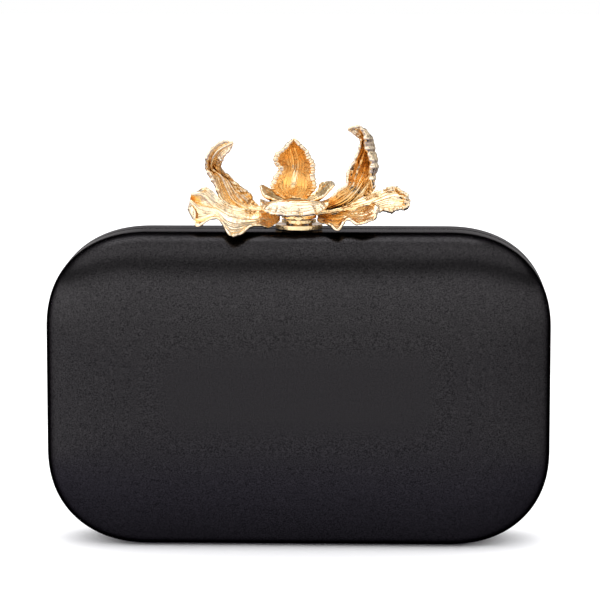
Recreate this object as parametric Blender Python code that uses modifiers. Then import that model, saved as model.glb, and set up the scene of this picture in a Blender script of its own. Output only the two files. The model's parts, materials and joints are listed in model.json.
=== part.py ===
"""Evening box clutch with a cast orchid clasp.

Two pillow-shaped halves, each a satin cover over wadding, a moulded shell and a lining round a metal
frame, meet at a vertical seam and swing apart on two small hinges let into the bottom edge. A gilt
orchid on the top edge is the catch: tilting it back lifts its tongue clear of a plate on the front half.

Metres, +Z up. The origin is under the middle of the purse, X runs along its width, and the front half
is on the -Y side. The seam is the plane y = 0.
"""
import math

import bmesh
import bpy
from mathutils import Vector

MM = 0.001

# Driving dimensions
WIDTH = 185 * MM
HEIGHT = 116 * MM
DEPTH = 50 * MM
GAP = 0.3 * MM              # clearance left between pieces that touch

# Pillow shape of one half
CORNER_X = 38.3 * MM        # reach of a rounded corner along the top of the outline
CORNER_Z = 35.8 * MM        # and down its side
CORNER_POWER = 2.25         # exponent of the corner's curve
CORNER_SHRINK = 0.6         # how much a corner shrinks for each unit an outline is drawn in
CROWN_POWER = 3.0           # exponent of the curve from side wall to face
WALL = 8 * MM               # straight side wall behind the seam
OUTLINE_SIDES = 32
CROWN_ANGLES = [0, 14, 28, 42, 57, 72]

# Layers of one half, from the outside in
COVER = 0.6 * MM
WADDING = 2.0 * MM
SHELL = 2.0 * MM
LINING = 0.6 * MM
FRAME_DEPTH = 2.5 * MM
FRAME_WIDTH = 6.1 * MM

# Hinges in the bottom edge
OPEN_AXIS_Z = 1.5 * MM
GROOVE_RADIUS = 2.3 * MM
GROOVE_LENGTH = 142 * MM
HINGE_X = 45 * MM
HINGE_WIDTH = 16 * MM
HINGE_POCKET_RADIUS = 2.9 * MM
KNUCKLE_RADIUS = 1.4 * MM
KNUCKLE_BORE = 0.8 * MM
HINGE_PIN_RADIUS = 0.65 * MM

# Clasp, heights above the top of the purse
BASE_RADIUS = 8.7 * MM
BASE_LOW, BASE_HIGH = 0.3 * MM, 1.9 * MM
PLATE_RADIUS = 6.45 * MM
CATCH_LOW, CATCH_HIGH = 2.5 * MM, 3.7 * MM
LEVER_LOW, LEVER_HIGH = 4.1 * MM, 5.3 * MM
CLASP_AXIS_Y = 5.2 * MM
CLASP_AXIS_Z = 3.05 * MM
LUG_RADIUS = 0.85 * MM
LUG_BORE = 0.5 * MM
CLASP_PIN_RADIUS = 0.35 * MM
PETAL_THICKNESS = 1.0 * MM

TOP = HEIGHT
INNER = COVER + WADDING + SHELL + LINING + 3 * GAP   # from the outside to the lining's inner face

for old in list(bpy.data.objects):
    bpy.data.objects.remove(old, do_unlink=True)

purse = bpy.data.collections.new("box_clutch")
cutters = bpy.data.collections.new("cutters")
bpy.context.scene.collection.children.link(purse)
bpy.context.scene.collection.children.link(cutters)


# ---------------------------------------------------------------- materials

def material(name, colour, roughness, metallic=0.0):
    made = bpy.data.materials.new(name)
    made.use_nodes = True
    shader = made.node_tree.nodes["Principled BSDF"]
    shader.inputs["Base Color"].default_value = (*colour, 1)
    shader.inputs["Roughness"].default_value = roughness
    shader.inputs["Metallic"].default_value = metallic
    return made


SATIN = material("black_satin", (0.012, 0.012, 0.013), 0.45)
FLEECE = material("wadding", (0.55, 0.55, 0.52), 0.95)
MOULDED = material("moulded_shell", (0.08, 0.08, 0.09), 0.6)
SUEDE = material("lining", (0.03, 0.03, 0.035), 0.9)
GILT = material("gilt_metal", (0.93, 0.68, 0.38), 0.18, 1.0)
STEEL = material("steel", (0.6, 0.6, 0.62), 0.3, 1.0)


# ---------------------------------------------------------------- helpers

def keep(name, mesh, finish, smooth=True):
    """Put a mesh in the purse's collection as the named piece."""
    made = bpy.data.objects.new(name, mesh)
    purse.objects.link(made)
    mesh.materials.clear()
    mesh.materials.append(finish)
    if smooth:
        mesh.shade_smooth()
        mesh.set_sharp_from_angle(angle=math.radians(35))
    return made


def tool(mesh, name="cutter"):
    """Put a mesh in the cutters' collection, hidden from renders."""
    made = bpy.data.objects.new(name, mesh)
    cutters.objects.link(made)
    made.hide_render = True
    made.display_type = "WIRE"
    return made


def solidify(piece, thickness, offset):
    wall = piece.modifiers.new("wall", "SOLIDIFY")
    wall.thickness = thickness
    wall.offset = offset
    wall.use_even_offset = True


def combine(piece, other, operation):
    cut = piece.modifiers.new(operation.lower(), "BOOLEAN")
    cut.operation = operation
    cut.object = other
    cut.solver = "EXACT"


def mesh_of(shape, name):
    mesh = bpy.data.meshes.new(name)
    shape.normal_update()
    bmesh.ops.recalc_face_normals(shape, faces=shape.faces)
    shape.to_mesh(mesh)
    shape.free()
    return mesh


def box(low, high, name="box"):
    """A box between two corners."""
    shape = bmesh.new()
    bmesh.ops.create_cube(shape, size=1)
    low, high = Vector(low), Vector(high)
    size = high - low
    for vert in shape.verts:
        vert.co = low + Vector(c * s for c, s in zip(vert.co + Vector((0.5, 0.5, 0.5)), size))
    return mesh_of(shape, name)


def rod(radius, x_low, x_high, y, z, sides=16, name="rod"):
    """A round bar along X."""
    shape = bmesh.new()
    bmesh.ops.create_cone(shape, cap_ends=True, segments=sides, radius1=radius, radius2=radius,
                          depth=x_high - x_low)
    for vert in shape.verts:
        along = vert.co.z + (x_low + x_high) / 2
        vert.co = Vector((along, vert.co.x + y, vert.co.y + z))
    return mesh_of(shape, name)


def post(radius, x, y, z_low, z_high, sides=24, name="post"):
    """A round bar along Z."""
    shape = bmesh.new()
    bmesh.ops.create_cone(shape, cap_ends=True, segments=sides, radius1=radius, radius2=radius,
                          depth=z_high - z_low)
    bmesh.ops.translate(shape, verts=shape.verts, vec=(x, y, (z_low + z_high) / 2))
    return mesh_of(shape, name)


def half_disc(radius, side, z_low, z_high, sides=20, name="half_disc"):
    """Half of a round plate, on one side of the seam."""
    start = math.asin(GAP / 2 / radius)
    sweep = math.pi - 2 * start
    shape = bmesh.new()
    rim = []
    for i in range(sides + 1):
        turn = start + sweep * i / sides
        rim.append(shape.verts.new((radius * math.cos(turn), side * radius * math.sin(turn), z_low)))
    face = shape.faces.new(rim)
    raised = bmesh.ops.extrude_face_region(shape, geom=[face])
    top = [item for item in raised["geom"] if isinstance(item, bmesh.types.BMVert)]
    bmesh.ops.translate(shape, verts=top, vec=(0, 0, z_high - z_low))
    return mesh_of(shape, name)


# ---------------------------------------------------------------- the two halves

def ring(inset, y):
    """The purse's outline drawn in by inset, at depth y, with a flat side at each extreme."""
    half_x, half_z = WIDTH / 2 - inset, HEIGHT / 2 - inset
    corner_x, corner_z = CORNER_X - CORNER_SHRINK * inset, CORNER_Z - CORNER_SHRINK * inset
    flat = math.cos(math.pi / OUTLINE_SIDES)
    points = []
    for i in range(OUTLINE_SIDES):
        turn = 2 * math.pi * (i + 0.5) / OUTLINE_SIDES
        across, up = math.cos(turn) / flat, math.sin(turn) / flat
        x = half_x - corner_x * (1 - abs(across) ** (2 / CORNER_POWER))
        z = half_z - corner_z * (1 - abs(up) ** (2 / CORNER_POWER))
        points.append((math.copysign(x, across), y, HEIGHT / 2 + math.copysign(z, up)))
    return points


def pillow_depth(fraction, inset):
    """Depth of a layer drawn in by inset, where the curve has turned by fraction of its height."""
    return WALL + (DEPTH / 2 - inset - WALL) * math.sin(fraction) ** (2 / CROWN_POWER)


def pillow(name, side, inset, thickness, start, finish):
    """One layer of a half: side wall, curve and crowned face, open at the seam."""
    reach = HEIGHT / 2 - inset
    rings = [ring(inset, side * start)]
    for degrees in CROWN_ANGLES:
        turn = math.radians(degrees)
        drawn_in = 1 - math.cos(turn) ** (2 / CROWN_POWER)
        rings.append(ring(inset + reach * drawn_in, side * pillow_depth(turn, inset)))
    shape = bmesh.new()
    rows = [[shape.verts.new(point) for point in points] for points in rings]
    for near, far in zip(rows, rows[1:]):
        for i in range(OUTLINE_SIDES):
            j = (i + 1) % OUTLINE_SIDES
            quad = [near[i], near[j], far[j], far[i]]
            shape.faces.new(quad if side < 0 else quad[::-1])
    shape.faces.new(rows[-1] if side < 0 else rows[-1][::-1])
    mesh = bpy.data.meshes.new(name)
    shape.to_mesh(mesh)
    shape.free()
    piece = keep(name, mesh, finish)
    solidify(piece, thickness, -1)
    return piece


def rim_frame(name, side):
    """The metal ring that stiffens the edge of a half."""
    edge = COVER + GAP
    outer = ring(edge, side * GAP / 2)
    inner = ring(edge + FRAME_WIDTH, side * GAP / 2)
    shape = bmesh.new()
    outside = [shape.verts.new(point) for point in outer]
    inside = [shape.verts.new(point) for point in inner]
    for i in range(OUTLINE_SIDES):
        j = (i + 1) % OUTLINE_SIDES
        quad = [outside[i], outside[j], inside[j], inside[i]]
        shape.faces.new(quad[::-1] if side < 0 else quad)
    mesh = bpy.data.meshes.new(name)
    shape.to_mesh(mesh)
    shape.free()
    piece = keep(name, mesh, GILT)
    solidify(piece, FRAME_DEPTH, -1)
    return piece


def half(label, side, groove):
    """One half of the case, from satin cover to lining."""
    behind_frame = GAP / 2 + FRAME_DEPTH + GAP
    cover = pillow(f"{label}_satin_cover", side, 0, COVER, GAP / 2, SATIN)
    frame = rim_frame(f"{label}_frame", side)
    for cutter in groove:
        combine(cover, cutter, "DIFFERENCE")
        combine(frame, cutter, "DIFFERENCE")
    depth = COVER + GAP
    pillow(f"{label}_wadding", side, depth, WADDING, behind_frame, FLEECE)
    depth += WADDING + GAP
    pillow(f"{label}_shell", side, depth, SHELL, behind_frame, MOULDED)
    depth += SHELL + GAP
    pillow(f"{label}_lining", side, depth, LINING, behind_frame, SUEDE)


def slip_pocket():
    """A flat pocket of lining cloth on the rear wall, curved with the wall behind it."""
    half_width, low, high = 52 * MM, 24 * MM, 68 * MM
    columns, rows = 10, 6
    shape = bmesh.new()
    grid = []
    for r in range(rows + 1):
        z = low + (high - low) * r / rows
        line = []
        for c in range(columns + 1):
            x = half_width * (2 * c / columns - 1)
            line.append(shape.verts.new((x, lining_face(x, z) - 1.5 * MM, z)))
        grid.append(line)
    for lower, upper in zip(grid, grid[1:]):
        for c in range(columns):
            shape.faces.new([lower[c], lower[c + 1], upper[c + 1], upper[c]])
    mesh = bpy.data.meshes.new("slip_pocket")
    shape.to_mesh(mesh)
    shape.free()
    pocket = keep("slip_pocket", mesh, SUEDE)
    solidify(pocket, LINING, -1)


def lining_face(x, z):
    """Depth of the rear lining's inner face at a point of the face."""
    reach_x, reach_z = WIDTH / 2 - INNER, HEIGHT / 2 - INNER
    from_edge = min(reach_x - abs(x), reach_z - abs(z - HEIGHT / 2)) / reach_z
    fullness = (1 - (1 - from_edge) ** CROWN_POWER) ** (1 / CROWN_POWER)
    return WALL + (DEPTH / 2 - INNER - WALL) * min(fullness, math.sin(math.radians(72)) ** (2 / 3))


# ---------------------------------------------------------------- bottom hinges

def hinge(label, centre):
    """Two leaves and a pin. The rear leaf has two knuckles, with the front leaf's one between them."""
    third = HINGE_WIDTH / 3
    left = centre - HINGE_WIDTH / 2
    spans = {"rear": [(left, left + third - GAP), (left + 2 * third + GAP, left + HINGE_WIDTH)],
             "front": [(left + third, left + 2 * third)]}
    for side, knuckles in zip((1, -1), (spans["rear"], spans["front"])):
        word = "rear" if side > 0 else "front"
        near, far = sorted((side * 1.2 * MM, side * 1.75 * MM))
        bar = box((left, near, OPEN_AXIS_Z + 1.2 * MM),
                  (left + HINGE_WIDTH, far, OPEN_AXIS_Z + 1.75 * MM))
        leaf = keep(f"hinge_{label}_{word}_leaf", bar, GILT, smooth=False)
        for start, end in knuckles:
            near, far = sorted((side * 0.5 * MM, side * 1.5 * MM))
            web = box((start + 0.1 * MM, near, OPEN_AXIS_Z + 0.5 * MM),
                      (end - 0.1 * MM, far, OPEN_AXIS_Z + 1.5 * MM))
            combine(leaf, tool(rod(KNUCKLE_RADIUS, start, end, 0, OPEN_AXIS_Z), "knuckle"), "UNION")
            combine(leaf, tool(web, "web"), "UNION")
        bore = rod(KNUCKLE_BORE, left - MM, left + HINGE_WIDTH + MM, 0, OPEN_AXIS_Z)
        combine(leaf, tool(bore, "bore"), "DIFFERENCE")
    pin = rod(HINGE_PIN_RADIUS, left - 0.4 * MM, left + HINGE_WIDTH + 0.4 * MM, 0, OPEN_AXIS_Z, 12)
    keep(f"hinge_{label}_pin", pin, STEEL)


# ---------------------------------------------------------------- clasp

def clasp():
    axis_z = TOP + CLASP_AXIS_Z

    front = keep("clasp_base_front", half_disc(BASE_RADIUS, -1, TOP + BASE_LOW, TOP + BASE_HIGH), GILT)
    stalk = post(2.2 * MM, 0, -3.2 * MM, TOP + BASE_HIGH - 0.4 * MM, TOP + CATCH_LOW + 0.4 * MM)
    catch = half_disc(PLATE_RADIUS, -1, TOP + CATCH_LOW, TOP + CATCH_HIGH, 16)
    combine(front, tool(stalk, "stalk"), "UNION")
    combine(front, tool(catch, "catch"), "UNION")

    rear = keep("clasp_base_rear", half_disc(BASE_RADIUS, 1, TOP + BASE_LOW, TOP + BASE_HIGH), GILT)
    for side in (-1, 1):
        x_low, x_high = sorted((side * 3.4 * MM, side * 4.8 * MM))
        foot = box((x_low, CLASP_AXIS_Y - 0.9 * MM, TOP + BASE_HIGH - 0.4 * MM),
                   (x_high, CLASP_AXIS_Y + 0.9 * MM, axis_z))
        combine(rear, tool(foot, "ear_foot"), "UNION")
        ear = rod(0.9 * MM, x_low + 0.05 * MM, x_high - 0.05 * MM, CLASP_AXIS_Y, axis_z)
        combine(rear, tool(ear, "ear"), "UNION")
    bore = tool(rod(LUG_BORE, -6 * MM, 6 * MM, CLASP_AXIS_Y, axis_z), "clasp_bore")
    combine(rear, bore, "DIFFERENCE")

    lever = keep("clasp_lever", post(PLATE_RADIUS, 0, 0, TOP + LEVER_LOW, TOP + LEVER_HIGH, 32), GILT)
    for side in (-1, 1):
        x_low, x_high = sorted((side * 1.3 * MM, side * 3.1 * MM))
        neck = box((x_low, CLASP_AXIS_Y - 0.8 * MM, axis_z),
                   (x_high, CLASP_AXIS_Y + 0.8 * MM, TOP + LEVER_LOW + 0.4 * MM))
        combine(lever, tool(neck, "neck"), "UNION")
        lug = rod(LUG_RADIUS, x_low + 0.05 * MM, x_high - 0.05 * MM, CLASP_AXIS_Y, axis_z)
        combine(lever, tool(lug, "lug"), "UNION")
    combine(lever, bore, "DIFFERENCE")

    tab_front, tab_back = -PLATE_RADIUS - 1.35 * MM, -PLATE_RADIUS - 0.35 * MM
    tab = box((-1.1 * MM, tab_front, TOP + 2.3 * MM), (1.1 * MM, tab_back, TOP + LEVER_HIGH))
    latch = keep("latch_tongue", tab, GILT, smooth=False)
    bar = box((-2.0 * MM, tab_front + 0.1 * MM, TOP + LEVER_LOW), (2.0 * MM, tab_back - 0.1 * MM,
              TOP + LEVER_HIGH - 0.2 * MM))
    combine(latch, tool(bar, "tongue_bar"), "UNION")

    keep("clasp_pin", rod(CLASP_PIN_RADIUS, -4.9 * MM, 4.9 * MM, CLASP_AXIS_Y, axis_z, 12), STEEL)


def return_spring():
    """A torsion spring round the clasp pin, with one leg on the base and one under the lever."""
    coil_radius, wire, turns, steps = 0.62 * MM, 0.1 * MM, 3, 10
    width = 1.6 * MM
    axis_z = TOP + CLASP_AXIS_Z
    points = [(-width / 2, CLASP_AXIS_Y - 2.6 * MM, axis_z - coil_radius)]
    for i in range(turns * steps + 1):
        turn = -math.pi / 2 - 2 * math.pi * i / steps
        x = -width / 2 + width * i / (turns * steps)
        y = CLASP_AXIS_Y + coil_radius * math.cos(turn)
        points.append((x, y, axis_z + coil_radius * math.sin(turn)))
    points.append((width / 2, CLASP_AXIS_Y + 2.2 * MM, axis_z - coil_radius))
    curve = bpy.data.curves.new("return_spring", "CURVE")
    curve.dimensions = "3D"
    curve.bevel_depth = wire
    curve.bevel_resolution = 1
    curve.use_fill_caps = True
    spline = curve.splines.new("POLY")
    spline.points.add(len(points) - 1)
    for spot, point in zip(spline.points, points):
        spot.co = (*point, 1)
    spring = bpy.data.objects.new("return_spring", curve)
    purse.objects.link(spring)
    curve.materials.append(STEEL)


# ---------------------------------------------------------------- orchid

# Each petal is lofted through cross sections from its root to its tip. A section is its one edge,
# its midrib and its other edge, in millimetres from the middle of the clasp's seat on the purse.
PETALS = {
    "petal_left_low": [
        ((-7.2, -4.5, 3.2), (-7.2, -2.5, 4.6), (-7.2, -0.8, 6.2)),
        ((-11.5, -10.5, 1.8), (-11.5, -4.5, 3.6), (-11.5, -0.8, 6.4)),
        ((-17.5, -15, 2.6), (-18, -7, 2.9), (-18.5, -2.6, 6.8)),
        ((-23.6, -20.5, -0.8), (-24.5, -9, 3.8), (-25, -4, 8.2)),
        ((-28.6, -12, 4.9), (-30.5, -7, 7.2), (-28.8, -4.4, 11.0)),
        ((-36.8, -13, 1.9), (-36, -7, 9.0), (-33.6, -4.5, 15.4)),
        ((-39.3, -9.5, 7.5), (-39.6, -6.5, 10.8), (-38.5, -4.5, 14.2)),
    ],
    "petal_left_tall": [
        ((-6, 1.2, 6.9), (-6, 3.8, 6.5), (-6, 6.5, 7.2)),
        ((-12.5, 1.0, 6.4), (-12.5, 4, 5.8), (-12.5, 7, 6.6)),
        ((-19.5, -0.5, 6.6), (-19, 4, 6.2), (-16.8, 7.5, 8.6)),
        ((-27, -1.5, 9.8), (-24.5, 3.5, 9.2), (-18.4, 6.5, 12.0)),
        ((-30.2, -2, 15.4), (-27.5, 2.5, 14.8), (-21.8, 4.5, 14.8)),
        ((-32, -2.5, 19.3), (-29, 1.5, 18.8), (-25.6, 2.5, 18.6)),
        ((-33.7, -3.5, 22.8), (-31.8, -1, 22.6), (-28.8, -1.5, 22.3)),
        ((-33.4, -5.5, 27.0), (-31, -4.5, 26.2), (-28.4, -6, 24.9)),
        ((-30.3, -7.5, 30.9), (-28.8, -7, 29.4), (-27.2, -8, 27.4)),
        ((-26.8, -9, 33.1), (-25.8, -8.8, 31.3), (-25.3, -9.2, 29.5)),
        ((-24.4, -9.8, 32.9), (-23.9, -9.8, 32.4), (-24.0, -9.8, 31.8)),
    ],
    "petal_right_low": [
        ((7.2, -4.5, 3.2), (7.2, -1.5, 4.2), (7.2, 1.5, 5.0)),
        ((9.6, -12, 3.6), (10.6, -4, 4.2), (11, 1.5, 5.0)),
        ((14.2, -17, 1.9), (14.8, -6, 4.2), (15.5, 2, 5.6)),
        ((18.0, -13.5, 4.6), (19.0, -5, 5.6), (20, 2, 6.6)),
        ((23.0, -16, 3.8), (24.0, -5, 6.6), (24.5, 2.5, 8.0)),
        ((27.0, -14, 5.2), (27.4, -4, 7.8), (27.0, 2, 8.8)),
        ((28.6, -9, 8.2), (28.8, -5, 8.8), (28.2, 0, 9.6)),
    ],
    "petal_right_outer": [
        ((7.5, 4.6, 3.9), (7.0, 7, 4.3), (6.0, 9.5, 4.9)),
        ((16, 6.5, 5.2), (16, 9.5, 5.0), (15, 12, 6.8)),
        ((26, 6, 5.6), (26.5, 9, 7.6), (25.5, 12, 11.0)),
        ((33, 5, 6.2), (33, 8.5, 9.5), (32.5, 11, 13.6)),
        ((38.2, 5, 6.6), (38.8, 7.5, 9.8), (36.5, 10, 14.2)),
        ((39.6, 5.5, 8.4), (39.8, 6.5, 10), (39, 8, 12)),
    ],
    "petal_right_tall": [
        ((6, 1.2, 6.9), (6, 3.8, 6.5), (6, 6.5, 7.2)),
        ((11.2, -3, 11.2), (12.5, 3.6, 7.4), (15.5, 7.5, 9.0)),
        ((14.5, -3.5, 14.4), (18.5, 3.5, 9.6), (22.5, 6.5, 12.0)),
        ((17.2, -2.5, 16.0), (23, 4.5, 14.0), (26.6, 2.0, 14.2)),
        ((17.9, -1.5, 19.4), (26, 5.5, 18.6), (26.6, -1, 18.0)),
        ((19.6, -1, 23.8), (27.5, 4, 23.8), (26.8, -2.5, 24.0)),
        ((22.2, -1.5, 29.0), (27, 2, 29.2), (25.4, -3.5, 29.4)),
        ((22.5, -3, 33.0), (25.8, -2, 34.2), (24.2, -5, 34.6)),
        ((21.2, -5, 34.8), (22.8, -4.5, 36.8), (22.3, -6.2, 38.0)),
        ((18.6, -7, 36.6), (18.3, -7, 37.2), (18.6, -7.2, 37.8)),
    ],
    "hood": [
        ((-5.5, -2, 11.6), (-2, 1.5, 11.5), (3.2, -2, 11.6)),
        ((-9.6, -5, 15.4), (-2, 4.5, 14.6), (5.5, -5, 15.4)),
        ((-8.6, -5, 18.3), (-1.8, 5.5, 18), (5.4, -5, 18.3)),
        ((-6.6, -4, 22.0), (-1.5, 5.5, 22), (5.0, -4.5, 22.0)),
        ((-8.2, -5, 25.6), (-1.6, 4, 26), (4.6, -5, 25.6)),
        ((-6.2, -5.5, 29.2), (-1.8, 1, 30), (2.6, -5.5, 29)),
        ((-2.4, -6, 32.8), (-1.7, -5.2, 33.5), (-1.0, -6, 32.8)),
    ],
    "inner_whorl": [
        ((-13.8, -4, 16.0), (-14, -2.5, 15.8), (-13.4, -1, 16.2)),
        ((-12, -6.5, 12.6), (-12, -1, 12.0), (-11, 3.5, 14.2)),
        ((-6.5, -6, 10.6), (-6.5, 0, 9.7), (-6.5, 6, 11.0)),
        ((-1, -5.6, 10.3), (-1, 0, 9.7), (-1, 6.5, 11)),
        ((5, -5.6, 10.8), (5.5, 0.5, 9.9), (5.5, 6.5, 12)),
        ((9.0, -5, 12.9), (9.5, 1, 12.9), (8.3, 6, 16.0)),
        ((12.8, -3, 16.2), (12.8, 0, 16.6), (11.5, 3, 17.4)),
    ],
    "lip": [
        ((-7.5, -0.5, 8.2), (-10.5, -0.5, 8.8), (-14, -1, 10.2)),
        ((-6.5, -3.5, 8.3), (-9.5, -6.5, 9.6), (-12.8, -8.5, 8.6)),
        ((-4.5, -4.6, 8.3), (-6.5, -9, 9.9), (-8.8, -12.4, 7.4)),
        ((-2, -4.8, 8.3), (-2.2, -9.6, 9.9), (-2.4, -14, 7.0)),
        ((0.8, -4.6, 8.3), (2.6, -9, 9.9), (4.6, -12.8, 7.4)),
        ((3.4, -3.5, 8.3), (6.4, -6.5, 9.8), (9.4, -9, 8.8)),
        ((4.2, -0.5, 8.3), (7.6, -1.5, 9.2), (11.4, -3, 10.6)),
    ],
}


def through(points, place):
    """A point on the smooth curve through points, at place from 0 to 1."""
    last = len(points) - 1
    span = min(int(place * last), last - 1)
    t = place * last - span
    before = points[span - 1] if span > 0 else 2 * points[0] - points[1]
    after = points[span + 2] if span + 2 <= last else 2 * points[last] - points[last - 1]
    start, end = points[span], points[span + 1]
    return 0.5 * (2 * start + (end - before) * t
                  + (2 * before - 5 * start + 4 * end - after) * t ** 2
                  + (3 * start - before - 3 * end + after) * t ** 3)


def petal(name, sections, along=12, across=4):
    """A thin cast petal through its sections."""
    rails = [[Vector(section[i]) for section in sections] for i in range(3)]
    shape = bmesh.new()
    grid = []
    for u in range(along + 1):
        edge, rib, other = (through(rail, u / along) for rail in rails)
        line = []
        for v in range(across + 1):
            s = 2 * v / across - 1
            point = edge * (s * s - s) / 2 + rib * (1 - s * s) + other * (s * s + s) / 2
            line.append(shape.verts.new(Vector((0, 0, TOP)) + point * MM))
        grid.append(line)
    for near, far in zip(grid, grid[1:]):
        for v in range(across):
            shape.faces.new([near[v], near[v + 1], far[v + 1], far[v]])
    mesh = bpy.data.meshes.new(name)
    shape.to_mesh(mesh)
    shape.free()
    piece = keep(name, mesh, GILT)
    solidify(piece, PETAL_THICKNESS, 0)


def flower_stem():
    """The turned stem that carries the flower on the lever."""
    low, high = LEVER_HIGH + GAP, 8.8 * MM
    profile = [(0, high), (2.6 * MM, high), (2.9 * MM, high - 0.5 * MM), (2.1 * MM, high - 1.6 * MM),
               (2.6 * MM, low + 0.6 * MM), (4.2 * MM, low), (0, low)]
    shape = bmesh.new()
    verts = [shape.verts.new((x, 0, TOP + z)) for x, z in profile]
    for start, end in zip(verts, verts[1:]):
        shape.edges.new((start, end))
    mesh = bpy.data.meshes.new("flower_stem")
    shape.to_mesh(mesh)
    shape.free()
    stem = keep("flower_stem", mesh, GILT)
    turned = stem.modifiers.new("turned", "SCREW")
    turned.steps = turned.render_steps = 24
    turned.use_merge_vertices = True
    turned.merge_threshold = 0.00001


# ---------------------------------------------------------------- build

groove = [tool(rod(GROOVE_RADIUS, -GROOVE_LENGTH / 2, GROOVE_LENGTH / 2, 0, OPEN_AXIS_Z, 24), "groove")]
for spot in (-HINGE_X, HINGE_X):
    pocket_half = HINGE_WIDTH / 2 + 0.8 * MM
    pocket = rod(HINGE_POCKET_RADIUS, spot - pocket_half, spot + pocket_half, 0, OPEN_AXIS_Z, 24)
    groove.append(tool(pocket, "hinge_pocket"))

half("rear", 1, groove)
half("front", -1, groove)
slip_pocket()
hinge("left", -HINGE_X)
hinge("right", HINGE_X)
clasp()
return_spring()
flower_stem()
for petal_name, sections in PETALS.items():
    petal(petal_name, sections)
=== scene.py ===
"""Looks of the box clutch: satin halves, gilt frame and orchid clasp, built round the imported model."""
import json
import math
from collections import namedtuple

import bmesh
import bpy
import numpy as np
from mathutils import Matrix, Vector


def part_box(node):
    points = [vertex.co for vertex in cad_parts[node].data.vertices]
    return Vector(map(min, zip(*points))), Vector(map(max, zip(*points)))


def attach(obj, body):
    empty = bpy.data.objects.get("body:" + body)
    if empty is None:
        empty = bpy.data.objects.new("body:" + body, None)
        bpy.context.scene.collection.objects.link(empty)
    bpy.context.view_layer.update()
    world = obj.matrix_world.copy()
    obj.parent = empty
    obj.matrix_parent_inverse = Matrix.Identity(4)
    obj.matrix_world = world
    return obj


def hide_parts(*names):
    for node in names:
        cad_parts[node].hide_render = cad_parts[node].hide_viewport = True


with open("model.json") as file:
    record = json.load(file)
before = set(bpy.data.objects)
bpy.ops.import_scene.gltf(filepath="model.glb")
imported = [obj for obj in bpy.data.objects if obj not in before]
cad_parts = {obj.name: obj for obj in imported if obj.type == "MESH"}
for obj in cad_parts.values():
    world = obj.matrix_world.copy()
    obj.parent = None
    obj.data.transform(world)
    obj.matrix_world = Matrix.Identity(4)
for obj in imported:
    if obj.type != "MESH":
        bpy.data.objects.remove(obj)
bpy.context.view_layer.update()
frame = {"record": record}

MM = 0.001
GAP = 0.3 * MM

# The case, from the frame
REAR_LOW, REAR_HIGH = (Vector(corner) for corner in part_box("rear_satin_cover"))
WIDTH = REAR_HIGH.x - REAR_LOW.x
HEIGHT = REAR_HIGH.z
HALF_DEPTH = REAR_HIGH.y
TOP = HEIGHT
MIDDLE = HEIGHT / 2
JOINTS = {joint["name"]: joint for joint in frame["record"]["behaviour"]["joints"]}
HINGE_Z = JOINTS["front_open"]["pos_m"][2]

# The pillow shape of one half, as the solids have it
CORNER_X = 38.3 * MM
CORNER_Z = 35.8 * MM
CORNER_POWER = 2.25
CORNER_SHRINK = 0.6
CROWN_POWER = 3.0
WALL = 8 * MM
EDGE_ROUND = 0.55 * MM
GROOVE_RADIUS = 2.3 * MM
GROOVE_HALF_LENGTH = 71 * MM
COVER, WADDING, SHELL, LINING = 0.6 * MM, 2.0 * MM, 2.0 * MM, 0.6 * MM
FRAME_DEPTH, FRAME_WIDTH = 2.5 * MM, 6.1 * MM


# ---------------------------------------------------------------- node materials

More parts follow.
